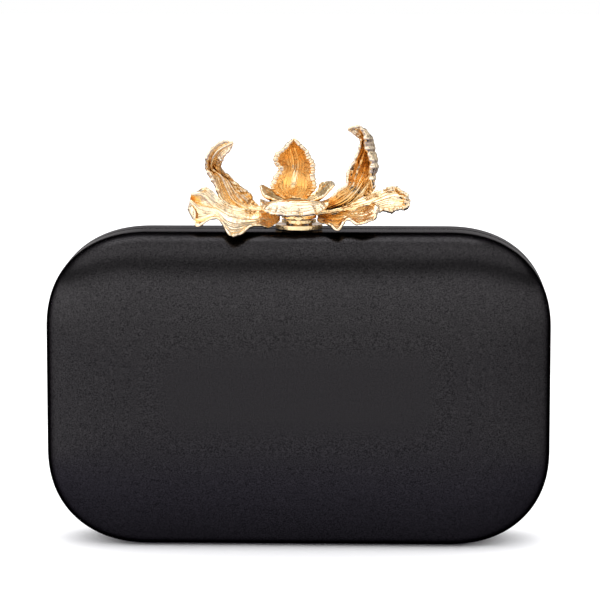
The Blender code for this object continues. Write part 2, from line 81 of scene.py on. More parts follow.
class Shader:
    """A Principled material with short calls for the nodes that feed it."""

    def __init__(self, name, colour, roughness, metallic=0.0, **sockets):
        self.material = bpy.data.materials.new(name)
        self.material.use_nodes = True
        self.nodes = self.material.node_tree.nodes
        self.links = self.material.node_tree.links
        self.shader = self.nodes["Principled BSDF"]
        self.set("Base Color", (*colour, 1))
        self.set("Roughness", roughness)
        self.set("Metallic", metallic)
        for socket, value in sockets.items():
            self.set(socket.replace("_", " "), value)
        self.place = self.nodes.new("ShaderNodeTexCoord").outputs["Object"]
        self.bumps = None

    def set(self, socket, value):
        self.shader.inputs[socket].default_value = value

    def stretched(self, scale):
        mapping = self.nodes.new("ShaderNodeMapping")
        mapping.inputs["Scale"].default_value = scale
        self.links.new(self.place, mapping.inputs["Vector"])
        return mapping.outputs["Vector"]

    def noise(self, scale, detail=3.0, stretch=(1, 1, 1)):
        node = self.nodes.new("ShaderNodeTexNoise")
        node.inputs["Scale"].default_value = scale
        node.inputs["Detail"].default_value = detail
        self.links.new(self.stretched(stretch), node.inputs["Vector"])
        return node.outputs["Fac"]

    def wave(self, scale, direction, distortion=0.0):
        node = self.nodes.new("ShaderNodeTexWave")
        node.bands_direction = direction
        node.inputs["Scale"].default_value = scale
        node.inputs["Distortion"].default_value = distortion
        self.links.new(self.place, node.inputs["Vector"])
        return node.outputs["Fac"]

    def ramp(self, factor, stops):
        node = self.nodes.new("ShaderNodeValToRGB")
        ramp = node.color_ramp
        while len(ramp.elements) < len(stops):
            ramp.elements.new(0.5)
        for element, (place, colour) in zip(ramp.elements, stops):
            element.position = place
            element.color = (*colour, 1)
        self.links.new(factor, node.inputs["Fac"])
        return node.outputs["Color"]

    def level(self, factor, low, high, start=0.0, end=1.0):
        node = self.nodes.new("ShaderNodeMapRange")
        node.inputs["From Min"].default_value = start
        node.inputs["From Max"].default_value = end
        node.inputs["To Min"].default_value = low
        node.inputs["To Max"].default_value = high
        self.links.new(factor, node.inputs["Value"])
        return node.outputs["Result"]

    def openness(self, reach):
        """1 where the surface faces free air, towards 0 where pieces within reach close it in."""
        node = self.nodes.new("ShaderNodeAmbientOcclusion")
        node.inputs["Distance"].default_value = reach
        node.samples = 8
        return node.outputs["AO"]

    def product(self, one, other):
        node = self.nodes.new("ShaderNodeMath")
        node.operation = "MULTIPLY"
        self.links.new(one, node.inputs[0])
        self.links.new(other, node.inputs[1])
        return node.outputs["Value"]

    def feed(self, socket, output):
        self.links.new(output, self.shader.inputs[socket])

    def bump(self, height, distance, strength=1.0):
        node = self.nodes.new("ShaderNodeBump")
        node.inputs["Distance"].default_value = distance
        node.inputs["Strength"].default_value = strength
        self.links.new(height, node.inputs["Height"])
        if self.bumps:
            self.links.new(self.bumps, node.inputs["Normal"])
        self.bumps = node.outputs["Normal"]
        self.feed("Normal", self.bumps)


def satin():
    """Black duchess satin: a close weave that glints thread by thread and is dark at a glancing angle."""
    s = Shader("black_satin", (0.014, 0.0138, 0.0142), 0.21, 1.0, Specular_Tint=(0.2, 0.19, 0.2, 1))
    threads = s.noise(2500, 2.0, (1, 1, 1.3))
    s.feed("Base Color", s.ramp(threads, [(0.36, (0.0105, 0.0101, 0.0110)),
                                          (0.64, (0.0425, 0.0409, 0.0428))]))
    s.feed("Roughness", s.level(s.noise(30, 3.0), 0.19, 0.24, 0.3, 0.7))
    s.bump(s.noise(1150, 2.0, (1, 1, 1.5)), 0.00003, 0.4)
    s.bump(s.product(s.wave(900, "X"), s.wave(1400, "Z")), 0.00001, 0.3)
    return s.material


def gilt(name="gilt_metal", roughness=0.13, bump=0.0002):
    """Polished pale gold plating over a casting, with tool marks; painted shade and painted
    inter-reflection make its colour darker and redder in the hollows.
    """
    s = Shader(name, (0.98, 0.80, 0.56), roughness, 1.0)
    patches = s.level(s.noise(330, 4.0), 0.68, 1.1, 0.3, 0.7)
    # Painted shade and painted inter-reflection: ambient occlusion within 9 mm, times random tone patches,
    # turns the colour near-black, then orange, where pieces close in.
    painted_shade_and_patches = s.product(s.openness(9 * MM), patches)
    s.feed("Base Color", s.ramp(painted_shade_and_patches, [(0.06, (0.18, 0.08, 0.02)), (0.2, (1.0, 0.62, 0.24)),
                                                (0.46, (1.0, 0.76, 0.42)), (0.74, (0.95, 0.75, 0.49)),
                                                (0.98, (0.92, 0.77, 0.58))]))
    s.feed("Roughness", s.level(s.noise(900, 3.0), roughness - 0.04, roughness + 0.07, 0.3, 0.7))
    s.bump(s.noise(650, 4.0), bump, 0.5)
    return s.material


def lining_cloth():
    s = Shader("lining_cloth", (0.03, 0.03, 0.034), 0.85, Sheen_Weight=0.4, Sheen_Roughness=0.4)
    nap = s.noise(600, 4.0)
    s.feed("Base Color", s.ramp(nap, [(0.3, (0.020, 0.020, 0.023)), (0.7, (0.042, 0.042, 0.047))]))
    s.bump(s.noise(1500, 3.0), 0.0001, 0.5)
    return s.material


def wadding():
    s = Shader("wadding", (0.5, 0.5, 0.47), 0.95)
    s.feed("Base Color", s.ramp(s.noise(400), [(0.3, (0.42, 0.42, 0.39)), (0.7, (0.58, 0.58, 0.55))]))
    s.bump(s.noise(900, 5.0), 0.0004, 0.6)
    return s.material


def moulded_board():
    s = Shader("moulded_shell", (0.05, 0.05, 0.055), 0.6)
    s.feed("Base Color", s.ramp(s.noise(300), [(0.3, (0.04, 0.04, 0.045)), (0.7, (0.06, 0.06, 0.066))]))
    s.bump(s.noise(1200, 3.0), 0.0001, 0.4)
    return s.material


def spring_steel():
    s = Shader("spring_steel", (0.6, 0.6, 0.62), 0.3, 1.0)
    s.feed("Roughness", s.level(s.noise(2500, 2.0, (0.1, 1, 1)), 0.22, 0.4, 0.3, 0.7))
    return s.material


def floor_paper():
    s = Shader("floor", (0.95, 0.95, 0.955), 0.9, Specular_IOR_Level=0.0)
    fibres = s.noise(60)
    s.feed("Base Color", s.ramp(fibres, [(0.3, (0.945, 0.945, 0.955)), (0.7, (0.955, 0.955, 0.96))]))
    return s.material


SATIN, GILT, SUEDE = satin(), gilt(), lining_cloth()
PETAL_GILT = gilt("petal_gilt", 0.15, 0.00045)
FLEECE, BOARD, STEEL = wadding(), moulded_board(), spring_steel()


# ---------------------------------------------------------------- mesh helpers

def add(name, points, faces, finish, smooth_angle=None):
    """A mesh object from points and faces."""
    mesh = bpy.data.meshes.new(name)
    mesh.from_pydata([tuple(p) for p in points], [], faces)
    mesh.materials.append(finish)
    mesh.validate()
    mesh.shade_smooth()
    if smooth_angle:
        mesh.set_sharp_from_angle(angle=math.radians(smooth_angle))
    made = bpy.data.objects.new(name, mesh)
    bpy.context.scene.collection.objects.link(made)
    return made


def face_out(piece):
    """Turn a closed piece's faces outward."""
    shape = bmesh.new()
    shape.from_mesh(piece.data)
    bmesh.ops.recalc_face_normals(shape, faces=shape.faces)
    shape.to_mesh(piece.data)
    shape.free()
    return piece


def rows_to_faces(rows, columns, closed):
    """Quads between rows of points that follow each other."""
    faces = []
    for r in range(rows - 1):
        here, there = r * columns, (r + 1) * columns
        for c in range(columns if closed else columns - 1):
            d = (c + 1) % columns
            faces.append((here + c, here + d, there + d, there + c))
    return faces


def closed_tube(rows, columns):
    """Faces of a tube of points, with a flat face over each end."""
    last = (rows - 1) * columns
    ends = [tuple(range(columns)), tuple(range(last + columns - 1, last - 1, -1))]
    return rows_to_faces(rows, columns, True) + ends


def part(piece, body, slot, *nodes):
    """Hand a piece over: the body it rides on and the solids that it stands for; slot, its finish, is not
    used.
    """
    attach(piece, body)
    if nodes:
        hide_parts(*nodes)
    return piece


# ---------------------------------------------------------------- the two halves

CORNER_STEPS, TOP_STEPS, SIDE_STEPS = 40, 44, 20
SAMPLES_A_CORNER = 4001
PAST_CORNER = 2e-4          # turn in radians from a quarter's end to the first point of the next corner


def outline(turns, inset):
    """The outline drawn in by inset, about its middle: a rectangle with superelliptic corners."""
    half_x, half_z = WIDTH / 2 - inset, MIDDLE - inset
    corner_x = min(CORNER_X - CORNER_SHRINK * inset, half_x)
    corner_z = min(CORNER_Z - CORNER_SHRINK * inset, half_z)
    across, up = np.cos(turns), np.sin(turns)
    x = half_x - corner_x * (1 - np.abs(across) ** (2 / CORNER_POWER))
    z = half_z - corner_z * (1 - np.abs(up) ** (2 / CORNER_POWER))
    return np.copysign(x, across), np.copysign(z, up)


def outline_places():
    """Where the outline's points go: from this turn, towards that turn, by this share.

    Points are evenly spaced round each corner, then along the straight side that follows it.
    """
    places = []
    for quarter in range(4):
        fine = np.linspace(0, math.pi / 2, SAMPLES_A_CORNER) + quarter * math.pi / 2
        x, z = outline(fine[1:-1], 0)
        length = np.concatenate([[0], np.cumsum(np.hypot(np.diff(x), np.diff(z)))])
        turns = np.interp(np.linspace(0, length[-1], CORNER_STEPS), length, fine[1:-1])
        places += [(turn, turn, 0.0) for turn in turns]
        corner_end, next_corner = turns[-1], fine[-1] + PAST_CORNER
        count = TOP_STEPS if quarter % 2 == 0 else SIDE_STEPS
        places += [(corner_end, next_corner, k / count) for k in range(1, count)]
    return np.array(places)


PLACES = outline_places()
AROUND = len(PLACES)


def ring(inset, y):
    """Points of the outline drawn in by inset, at depth y."""
    start_x, start_z = outline(PLACES[:, 0], inset)
    end_x, end_z = outline(PLACES[:, 1], inset)
    share = PLACES[:, 2]
    x, z = start_x + (end_x - start_x) * share, start_z + (end_z - start_z) * share
    return np.stack([x, np.full_like(x, y), MIDDLE + z], axis=1)


def clear_groove(points, side):
    """Move points back from the seam, out of the round groove that the hinges sit in."""
    off_axis = np.abs(points[:, 2] - HINGE_Z)
    wall = np.sqrt(np.maximum(GROOVE_RADIUS ** 2 - off_axis ** 2, 0))
    inside = (np.abs(points[:, 0]) < GROOVE_HALF_LENGTH) & (np.abs(points[:, 1]) < wall)
    points[inside, 1] = side * wall[inside]
    return points


def crown_rings(side, inset, start, steps=46, last=86):
    """Rings of one layer from its side wall to the middle of its face."""
    reach = MIDDLE - inset
    deep = HALF_DEPTH - inset
    rings = [ring(inset, side * y) for y in np.linspace(start, WALL, 8)[:-1]]
    for turn in np.radians(np.linspace(0, last, steps)):
        drawn_in = 1 - math.cos(turn) ** (2 / CROWN_POWER)
        depth = WALL + (deep - WALL) * math.sin(turn) ** (2 / CROWN_POWER)
        rings.append(ring(inset + reach * drawn_in, side * depth))
    return rings


def layer(name, side, inset, thickness, start, finish, edge=None):
    """A closed layer of one half: outer skin, rounded or square edge, and inner skin."""
    outer = crown_rings(side, inset, start + (edge or 0))
    inner = crown_rings(side, inset + thickness, start + (edge or 0))
    lips = []
    if edge:
        for turn in np.radians((22.5, 45, 67.5, 90)):
            lips.append(ring(inset + edge * (1 - math.cos(turn)),
                             side * (start + edge * (1 - math.sin(turn)))))
    rings = outer[::-1] + lips + inner
    points = clear_groove(np.concatenate(rings), side)
    return face_out(add(name, points, closed_tube(len(rings), AROUND), finish, 50))


def rim_frame(name, side):
    """The gilt ring round the seam, with rounded corners."""
    low, high = COVER + GAP, COVER + GAP + FRAME_WIDTH
    near, far = GAP / 2, GAP / 2 + FRAME_DEPTH
    radius, steps = 0.45 * MM, 4
    section = []
    corners = [(low, near, 180), (high, near, 270), (high, far, 0), (low, far, 90)]
    for inset, depth, start in corners:
        middle_inset = inset + (radius if inset == low else -radius)
        middle_depth = depth + (radius if depth == near else -radius)
        for i in range(steps + 1):
            turn = math.radians(start + 90 * i / steps)
            section.append((middle_inset + radius * math.cos(turn), middle_depth + radius * math.sin(turn)))
    face = [(inset, near) for inset in np.linspace(low + radius, high - radius, 14)[1:-1]]
    wall = [(low, depth) for depth in np.linspace(far - radius, near + radius, 8)[1:-1]]
    section = section[:steps + 1] + face + section[steps + 1:] + wall
    points = clear_groove(np.concatenate([ring(inset, side * depth) for inset, depth in section]), side)
    count = len(section)
    faces = rows_to_faces(count, AROUND, True)
    for c in range(AROUND):
        d = (c + 1) % AROUND
        last = (count - 1) * AROUND
        faces.append((last + c, last + d, d, c))
    return face_out(add(name, points, faces, GILT, 50))


def halves():
    """Every layer of both halves."""
    behind_frame = GAP / 2 + FRAME_DEPTH + GAP
    for word, side, body in (("rear", 1, "rear_half"), ("front", -1, "front_half")):
        cover = layer(f"{word}_satin", side, 0, COVER, GAP / 2, SATIN, EDGE_ROUND)
        part(cover, body, "black_satin", f"{word}_satin_cover")
        part(rim_frame(f"{word}_rim", side), body, "gilt_metal", f"{word}_frame")
        inset = COVER + GAP
        pad = layer(f"{word}_pad", side, inset, WADDING, behind_frame, FLEECE)
        part(pad, body, "wadding", f"{word}_wadding")
        inset += WADDING + GAP
        board = layer(f"{word}_board", side, inset, SHELL, behind_frame, BOARD)
        part(board, body, "moulded_shell", f"{word}_shell")
        inset += SHELL + GAP
        cloth = layer(f"{word}_lining_cloth", side, inset, LINING, behind_frame, SUEDE)
        part(cloth, body, "lining_cloth", f"{word}_lining")


# ---------------------------------------------------------------- orchid

# Sections of each petal from root to tip: one edge, midrib, other edge, in millimetres from the
# middle of the clasp's seat. They are the solids' sections, except the lip's: here its frill arches
# higher, so it crosses the front of the inner whorl and the foot of petal_right_tall.
PETALS = {
    "petal_left_low": [
        ((-7.2, -4.5, 3.2), (-7.2, -2.5, 4.6), (-7.2, -0.8, 6.2)),
        ((-11.5, -10.5, 1.8), (-11.5, -4.5, 3.6), (-11.5, -0.8, 6.4)),
        ((-17.5, -15, 2.6), (-18, -7, 2.9), (-18.5, -2.6, 6.8)),
        ((-23.6, -20.5, -0.8), (-24.5, -9, 3.8), (-25, -4, 8.2)),
        ((-28.6, -12, 4.9), (-30.5, -7, 7.2), (-28.8, -4.4, 11.0)),
        ((-36.8, -13, 1.9), (-36, -7, 9.0), (-33.6, -4.5, 15.4)),
        ((-39.3, -9.5, 7.5), (-39.6, -6.5, 10.8), (-38.5, -4.5, 14.2)),
    ],
    "petal_left_tall": [
        ((-6, 1.2, 6.9), (-6, 3.8, 6.5), (-6, 6.5, 7.2)),
        ((-12.5, 1.0, 6.4), (-12.5, 4, 5.8), (-12.5, 7, 6.6)),
        ((-19.5, -0.5, 6.6), (-19, 4, 6.2), (-16.8, 7.5, 8.6)),
        ((-27, -1.5, 9.8), (-24.5, 3.5, 9.2), (-18.4, 6.5, 12.0)),
        ((-30.2, -2, 15.4), (-27.5, 2.5, 14.8), (-21.8, 4.5, 14.8)),
        ((-32, -2.5, 19.3), (-29, 1.5, 18.8), (-25.6, 2.5, 18.6)),
        ((-33.7, -3.5, 22.8), (-31.8, -1, 22.6), (-28.8, -1.5, 22.3)),
        ((-33.4, -5.5, 27.0), (-31, -4.5, 26.2), (-28.4, -6, 24.9)),
        ((-30.3, -7.5, 30.9), (-28.8, -7, 29.4), (-27.2, -8, 27.4)),
        ((-26.8, -9, 33.1), (-25.8, -8.8, 31.3), (-25.3, -9.2, 29.5)),
        ((-24.4, -9.8, 32.9), (-23.9, -9.8, 32.4), (-24.0, -9.8, 31.8)),
    ],
    "petal_right_low": [
        ((7.2, -4.5, 3.2), (7.2, -1.5, 4.2), (7.2, 1.5, 5.0)),
        ((9.6, -12, 3.6), (10.6, -4, 4.2), (11, 1.5, 5.0)),
        ((14.2, -17, 1.9), (14.8, -6, 4.2), (15.5, 2, 5.6)),
        ((18.0, -13.5, 4.6), (19.0, -5, 5.6), (20, 2, 6.6)),
        ((23.0, -16, 3.8), (24.0, -5, 6.6), (24.5, 2.5, 8.0)),
        ((27.0, -14, 5.2), (27.4, -4, 7.8), (27.0, 2, 8.8)),
        ((28.6, -9, 8.2), (28.8, -5, 8.8), (28.2, 0, 9.6)),
    ],
    "petal_right_outer": [
        ((7.5, 4.6, 3.9), (7.0, 7, 4.3), (6.0, 9.5, 4.9)),
        ((16, 6.5, 5.2), (16, 9.5, 5.0), (15, 12, 6.8)),
        ((26, 6, 5.6), (26.5, 9, 7.6), (25.5, 12, 11.0)),
        ((33, 5, 6.2), (33, 8.5, 9.5), (32.5, 11, 13.6)),
        ((38.2, 5, 6.6), (38.8, 7.5, 9.8), (36.5, 10, 14.2)),
        ((39.6, 5.5, 8.4), (39.8, 6.5, 10), (39, 8, 12)),
    ],
    "petal_right_tall": [
        ((6, 1.2, 6.9), (6, 3.8, 6.5), (6, 6.5, 7.2)),
        ((11.2, -3, 11.2), (12.5, 3.6, 7.4), (15.5, 7.5, 9.0)),
        ((14.5, -3.5, 14.4), (18.5, 3.5, 9.6), (22.5, 6.5, 12.0)),
        ((17.2, -2.5, 16.0), (23, 4.5, 14.0), (26.6, 2.0, 14.2)),
        ((17.9, -1.5, 19.4), (26, 5.5, 18.6), (26.6, -1, 18.0)),
        ((19.6, -1, 23.8), (27.5, 4, 23.8), (26.8, -2.5, 24.0)),
        ((22.2, -1.5, 29.0), (27, 2, 29.2), (25.4, -3.5, 29.4)),
        ((22.5, -3, 33.0), (25.8, -2, 34.2), (24.2, -5, 34.6)),
        ((21.2, -5, 34.8), (22.8, -4.5, 36.8), (22.3, -6.2, 38.0)),
        ((18.6, -7, 36.6), (18.3, -7, 37.2), (18.6, -7.2, 37.8)),
    ],
    "hood": [
        ((-5.5, -2, 11.6), (-2, 1.5, 11.5), (3.2, -2, 11.6)),
        ((-9.6, -5, 15.4), (-2, 4.5, 14.6), (5.5, -5, 15.4)),
        ((-8.6, -5, 18.3), (-1.8, 5.5, 18), (5.4, -5, 18.3)),
        ((-6.6, -4, 22.0), (-1.5, 5.5, 22), (5.0, -4.5, 22.0)),
        ((-8.2, -5, 25.6), (-1.6, 4, 26), (4.6, -5, 25.6)),
        ((-6.2, -5.5, 29.2), (-1.8, 1, 30), (2.6, -5.5, 29)),
        ((-2.4, -6, 32.8), (-1.7, -5.2, 33.5), (-1.0, -6, 32.8)),
    ],
    "inner_whorl": [
        ((-13.8, -4, 16.0), (-14, -2.5, 15.8), (-13.4, -1, 16.2)),
        ((-12, -6.5, 12.6), (-12, -1, 12.0), (-11, 3.5, 14.2)),
        ((-6.5, -6, 10.6), (-6.5, 0, 9.7), (-6.5, 6, 11.0)),
        ((-1, -5.6, 10.3), (-1, 0, 9.7), (-1, 6.5, 11)),
        ((5, -5.6, 10.8), (5.5, 0.5, 9.9), (5.5, 6.5, 12)),
        ((9.0, -5, 12.9), (9.5, 1, 12.9), (8.3, 6, 16.0)),
        ((12.8, -3, 16.2), (12.8, 0, 16.6), (11.5, 3, 17.4)),
    ],
    "lip": [
        ((-7.5, -0.5, 8.2), (-10.5, -0.5, 9.4), (-14, -1, 10.8)),
        ((-6.5, -3.5, 8.2), (-9.7, -7, 10.5), (-12.8, -9, 8.4)),
        ((-4.5, -4.6, 8.2), (-6.7, -9.6, 11.1), (-8.9, -12.8, 7.0)),
        ((-2, -4.8, 8.2), (-2.2, -10.2, 11.2), (-2.4, -14, 6.6)),
        ((0.8, -4.6, 8.2), (2.7, -9.6, 11.1), (4.8, -13, 7.0)),
        ((3.4, -3.5, 8.2), (6.6, -7, 10.6), (9.6, -9.2, 8.6)),
        ((4.2, -0.5, 8.3), (7.6, -1.5, 9.8), (11.4, -3, 11.2)),
    ],
}

# How each petal is finished: veins across it and their height, waves of its ruffled edges and their
# height, radius of its rolled rims, folds across its free end and their height, and height of the
# folded rib along its middle. Heights and radii are in millimetres.
Finish = namedtuple("Finish", "veins vein_height waves wave_height rims folds fold_height rib_height")
FINISH = {
    "petal_left_low": Finish(12, 0.22, 4, 0.50, (0.55, 0.5), 1.3, 1.5, 0.5),
    "petal_left_tall": Finish(8, 0.20, 4, 0.20, (0.8, 0.75), 0.0, 0.0, 1.5),
    "petal_right_low": Finish(12, 0.22, 4, 0.40, (0.55, 0.5), 1.0, 0.9, 0.4),
    "petal_right_outer": Finish(10, 0.25, 5, 0.55, (0.7, 0.7), 1.5, 1.2, 0.0),
    "petal_right_tall": Finish(9, 0.32, 5, 0.25, (0.65, 1.1), 0.0, 0.0, 0.0),
    "hood": Finish(10, 0.26, 3, 0.3, (1.15, 1.15), 0.0, 0.0, 0.0),
    "inner_whorl": Finish(8, 0.15, 4, 0.25, (0.7, 0.6), 0.0, 0.0, 0.3),
    "lip": Finish(11, 0.26, 7, 0.55, (0.5, 0.7), 0.0, 0.0, 0.0),
}
PETAL_THICKNESS = 0.8 * MM
PETAL_ROWS, PETAL_COLUMNS = 140, 57
RIM_SHARE = 0.9             # half thickness of a rolled rim, as a share of its radius


def smooth_through(points, places):
    """Points on the smooth curve through points, at places from 0 to 1."""
    points = np.asarray(points, float)
    last = len(points) - 1
    padded = np.concatenate([[2 * points[0] - points[1]], points, [2 * points[-1] - points[-2]]])
    span = np.minimum((places * last).astype(int), last - 1)
    t = (places * last - span)[:, None]
    before, start, end, after = (padded[span + i] for i in range(4))
    return 0.5 * (2 * start + (end - before) * t
                  + (2 * before - 5 * start + 4 * end - after) * t ** 2
                  + (3 * start - before - 3 * end + after) * t ** 3)


def normals(surface):
    """Unit normals of a grid of points."""
    flat = np.cross(np.gradient(surface, axis=0), np.gradient(surface, axis=1))
    return flat / np.maximum(np.linalg.norm(flat, axis=2, keepdims=True), 1e-12)


def petal_lift(finish, u, v, phase):
    """How far ruffles, veins, folds and rib raise a petal at places u along it and v across it."""
    free = np.sin(np.pi * np.clip(u, 0, 1)) ** 0.35
    ruffle = np.abs(v) ** 2.5 * (np.sin(2 * np.pi * finish.waves * u + phase + 1.5 * v)
                                 + 0.3 * np.sin(2 * np.pi * 1.9 * finish.waves * u + 2 * phase - v))
    wander = 0.5 * np.sin(5 * u + phase) + 0.3 * np.sin(11 * u + 2 * phase)
    bent = v * (1 - 0.2 * u) + 0.12 * wander + 0.06 * np.sin(6 * v + 3 * u + phase)
    ridge = 1.2 - 2 * np.abs(np.sin(np.pi / 2 * finish.veins * bent)) ** 0.8
    fine = np.sin(np.pi * 2.3 * finish.veins * bent + 4 * u)
    strength = 0.75 + 0.35 * np.sin(9 * u + 4 * v + phase)
    chasing = finish.vein_height * strength * (0.55 * ridge + 0.35 * fine)
    lift = (finish.wave_height * ruffle - chasing) * free * MM
    end = np.clip((u - 0.55) / 0.4, 0, 1) ** 1.5
    lift += finish.fold_height * MM * end * np.sin(2 * np.pi * finish.folds * v + phase)
    rib_line = 0.12 * np.sin(4 * u + phase)
    lift -= finish.rib_height * MM * np.exp(-((v - rib_line) / 0.13) ** 2) * np.sin(np.pi * u) ** 0.6
    return lift


def rim_radii(radii, u, phase):
    """Radius of each rolled rim along a petal: beaded, and tapered at both ends."""
    taper = np.sin(np.pi * np.clip(0.06 + 0.9 * u, 0, 1)) ** 0.4

    def beads(turn):
        return (1 + 0.16 * np.sin(2 * np.pi * 13 * u + turn)
                + 0.12 * np.sin(2 * np.pi * 23 * u + 2 * turn)
                + 0.12 * np.sin(2 * np.pi * 5 * u - turn))

    return [radius * MM * beads(phase + 2 * k) * taper for k, radius in enumerate(radii)]


def petal(name, sections, phase):
    """A cast petal: veined sheet with ruffled edges and a beaded rim."""
    finish = FINISH[name]
    u = np.linspace(0, 1, PETAL_ROWS)
    v = np.linspace(-1, 1, PETAL_COLUMNS)
    edge, rib, other = (smooth_through([s[i] for s in sections], u) for i in range(3))
    a, b, c = ((v * v - v) / 2, 1 - v * v, (v * v + v) / 2)
    middle = (edge[:, None] * a[None, :, None] + rib[:, None] * b[None, :, None]
              + other[:, None] * c[None, :, None]) * MM
    middle[..., 2] += TOP
    lift = petal_lift(finish, *np.meshgrid(u, v, indexing="ij"), phase)
    middle = middle + normals(middle) * lift[..., None]
    out = normals(middle)

    left_rim, right_rim = rim_radii(finish.rims, u, phase)
    rim = np.where(v < 0, left_rim[:, None], right_rim[:, None])
    reach = np.linalg.norm(middle[:, -1] - middle[:, 0], axis=1)[:, None]
    from_edge = (1 - np.abs(v))[None, :] * np.maximum(reach, 1 * MM) / 2
    roll = np.clip(1 - (from_edge / (1.9 * rim)) ** 2, 0, 1) ** 0.5
    half = PETAL_THICKNESS / 2 * (1 - roll) + rim * roll * RIM_SHARE
    top = middle + out * half[..., None]
    bottom = middle - out * half[..., None]

    def end_round(column, neighbour, radius):
        """Half round of the rim beside one edge, from top to bottom."""
        away = middle[:, column] - middle[:, neighbour]
        away /= np.maximum(np.linalg.norm(away, axis=1, keepdims=True), 1e-12)
        turns = np.radians([22, 45, 67, 90, 113, 135, 158])
        radius = radius[:, None] * RIM_SHARE
        return [middle[:, column] + radius * (out[:, column] * math.cos(t) + away * math.sin(t))
                for t in turns]

    right = end_round(-1, -2, right_rim)
    left = end_round(0, 1, left_rim)
    loops = [top[:, i] for i in range(PETAL_COLUMNS)] + right
    loops += [bottom[:, i] for i in range(PETAL_COLUMNS - 1, -1, -1)] + left[::-1]
    section = np.stack(loops, axis=1)
    for end, step in ((0, -1), (-1, 1)):
        centre = section[end].mean(axis=0)
        beyond = centre - section[end - step].mean(axis=0)
        beyond *= 0.35 * MM / max(np.linalg.norm(beyond), 1e-9)
        rings = [centre + (section[end] - centre) * scale + beyond * reach
                 for scale, reach in ((0.93, 0.6), (0.7, 1.0))]
        block = np.stack(rings if step > 0 else rings[::-1])
        section = np.concatenate([section, block] if step > 0 else [block, section])
    faces = closed_tube(*section.shape[:2])
    return face_out(add(f"{name}_casting", section.reshape(-1, 3), faces, PETAL_GILT))


def orchid():
    """All petals, each with its own phase of ruffles, veins and beads."""
    for number, (name, sections) in enumerate(PETALS.items()):
        part(petal(name, sections, 1.7 * number), "flower", "gilt_metal", name)


# ---------------------------------------------------------------- clasp, hinges and spring

def softened(node, radius, finish):
    """A finer copy of a node, with its edges rounded as cast or turned metal has them."""
    mesh = bpy.data.objects[node].data.copy()
    mesh.name = f"{node}_metal"
    mesh.materials.clear()
    mesh.materials.append(finish)
    made = bpy.data.objects.new(f"{node}_metal", mesh)
    bpy.context.scene.collection.objects.link(made)
    weld = made.modifiers.new("weld", "WELD")
    weld.merge_threshold = 0.00001
    bevel = made.modifiers.new("edges", "BEVEL")
    bevel.width = radius
    bevel.segments = 4
    bevel.limit_method = "ANGLE"
    bevel.angle_limit = math.radians(30)
    bevel.harden_normals = True
    return made


def lathe(profile, around=96):
    """Points and faces of a turned shape about the clasp's upright axis, from its profile (r, z)."""
    turns = np.linspace(0, 2 * math.pi, around, endpoint=False)
    rings = [np.stack([r * np.cos(turns), r * np.sin(turns), np.full(around, z)], axis=1)
             for r, z in profile]
    return np.concatenate(rings), closed_tube(len(profile), around)


def stem():
    """Turned stem under the flower, with a foot, a waist and a collar."""
    low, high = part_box("flower_stem")
    heights = np.linspace(low[2], high[2], 30)
    place = (heights - low[2]) / (high[2] - low[2])
    radii = 2.3 + 1.7 * (1 - place) ** 6 + 0.35 * np.exp(-((place - 0.86) / 0.09) ** 2)
    radii += 0.25 * np.exp(-((place - 0.34) / 0.05) ** 2)
    points, faces = lathe(list(zip(radii * MM, heights)))
    made = face_out(add("stem_turned", points, faces, GILT, 60))
    part(made, "flower", "gilt_metal", "flower_stem")


def tongue():
    """Latch tongue: a waisted finger under a bow shaped head, cast with soft edges."""
    low, high = (Vector(corner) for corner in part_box("latch_tongue"))
    middle_y, half_y = (low.y + high.y) / 2, (high.y - low.y) / 2 * 0.96
    rows, around = 33, 40
    half_widths = (0.55, 1.05, 0.95, 0.7, 0.72, 1.5, 1.95, 1.7, 0.8)
    widths = smooth_through([(width, 0, 0) for width in half_widths], np.linspace(0, 1, rows))[:, 0]
    turns = np.linspace(0, 2 * math.pi, around, endpoint=False)
    across, deep = np.cos(turns), np.sin(turns)
    rings = []
    for width, z in zip(widths, np.linspace(low.z, high.z, rows)):
        pinch = 1 - 0.25 * np.exp(-(across / 0.25) ** 2) * (width > 1.3)
        rings.append(np.stack([width * MM * np.sign(across) * np.abs(across) ** 0.7,
                               middle_y + half_y * pinch * np.sign(deep) * np.abs(deep) ** 0.7,
                               np.full(around, z)], axis=1))
    faces = closed_tube(rows, around)
    made = face_out(add("tongue_cast", np.concatenate(rings), faces, GILT, 60))
    part(made, "flower", "gilt_metal", "latch_tongue")


def fittings():
    """Clasp plates, hinges, pins and spring."""
    for node, body, radius in (("clasp_base_front", "front_half", 0.16),
                               ("clasp_base_rear", "rear_half", 0.16),
                               ("clasp_lever", "flower", 0.2)):
        part(softened(node, radius * MM, GILT), body, "gilt_metal", node)
    for side in ("left", "right"):
        for word in ("front", "rear"):
            node = f"hinge_{side}_{word}_leaf"
            part(softened(node, 0.1 * MM, GILT), f"{word}_half", "gilt_metal", node)
    for node in ("hinge_left_pin", "hinge_right_pin", "clasp_pin"):
        part(softened(node, 0.1 * MM, STEEL), "rear_half", "spring_steel", node)
    for spot in bpy.data.objects["return_spring"].material_slots:
        spot.material = STEEL
    stem()
    tongue()


# ---------------------------------------------------------------- slip pocket

POCKET_LOW, POCKET_HIGH = (Vector(corner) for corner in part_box("slip_pocket"))
SHALLOWEST = math.radians(72)       # turn of the crown where the wall's middle starts
SEAM_MARGIN = 2 * MM
STITCH_PITCH = 2.4 * MM
THREAD_RADIUS = 0.16 * MM


def pocket_depth(x, z):
    """Depth of the pocket cloth's inner face, following the rear wall behind it."""
    inset = HALF_DEPTH - POCKET_HIGH.y
    reach_x, reach_z = WIDTH / 2 - inset, MIDDLE - inset
    from_edge = np.minimum(reach_x - np.abs(x), reach_z - np.abs(z - MIDDLE)) / reach_z
    fullest = math.sin(SHALLOWEST) ** (2 / CROWN_POWER)
    fullness = np.minimum((1 - (1 - from_edge) ** CROWN_POWER) ** (1 / CROWN_POWER), fullest)
    depth = POCKET_HIGH.y - LINING
    return depth - (fullest - fullness) * (depth - WALL)


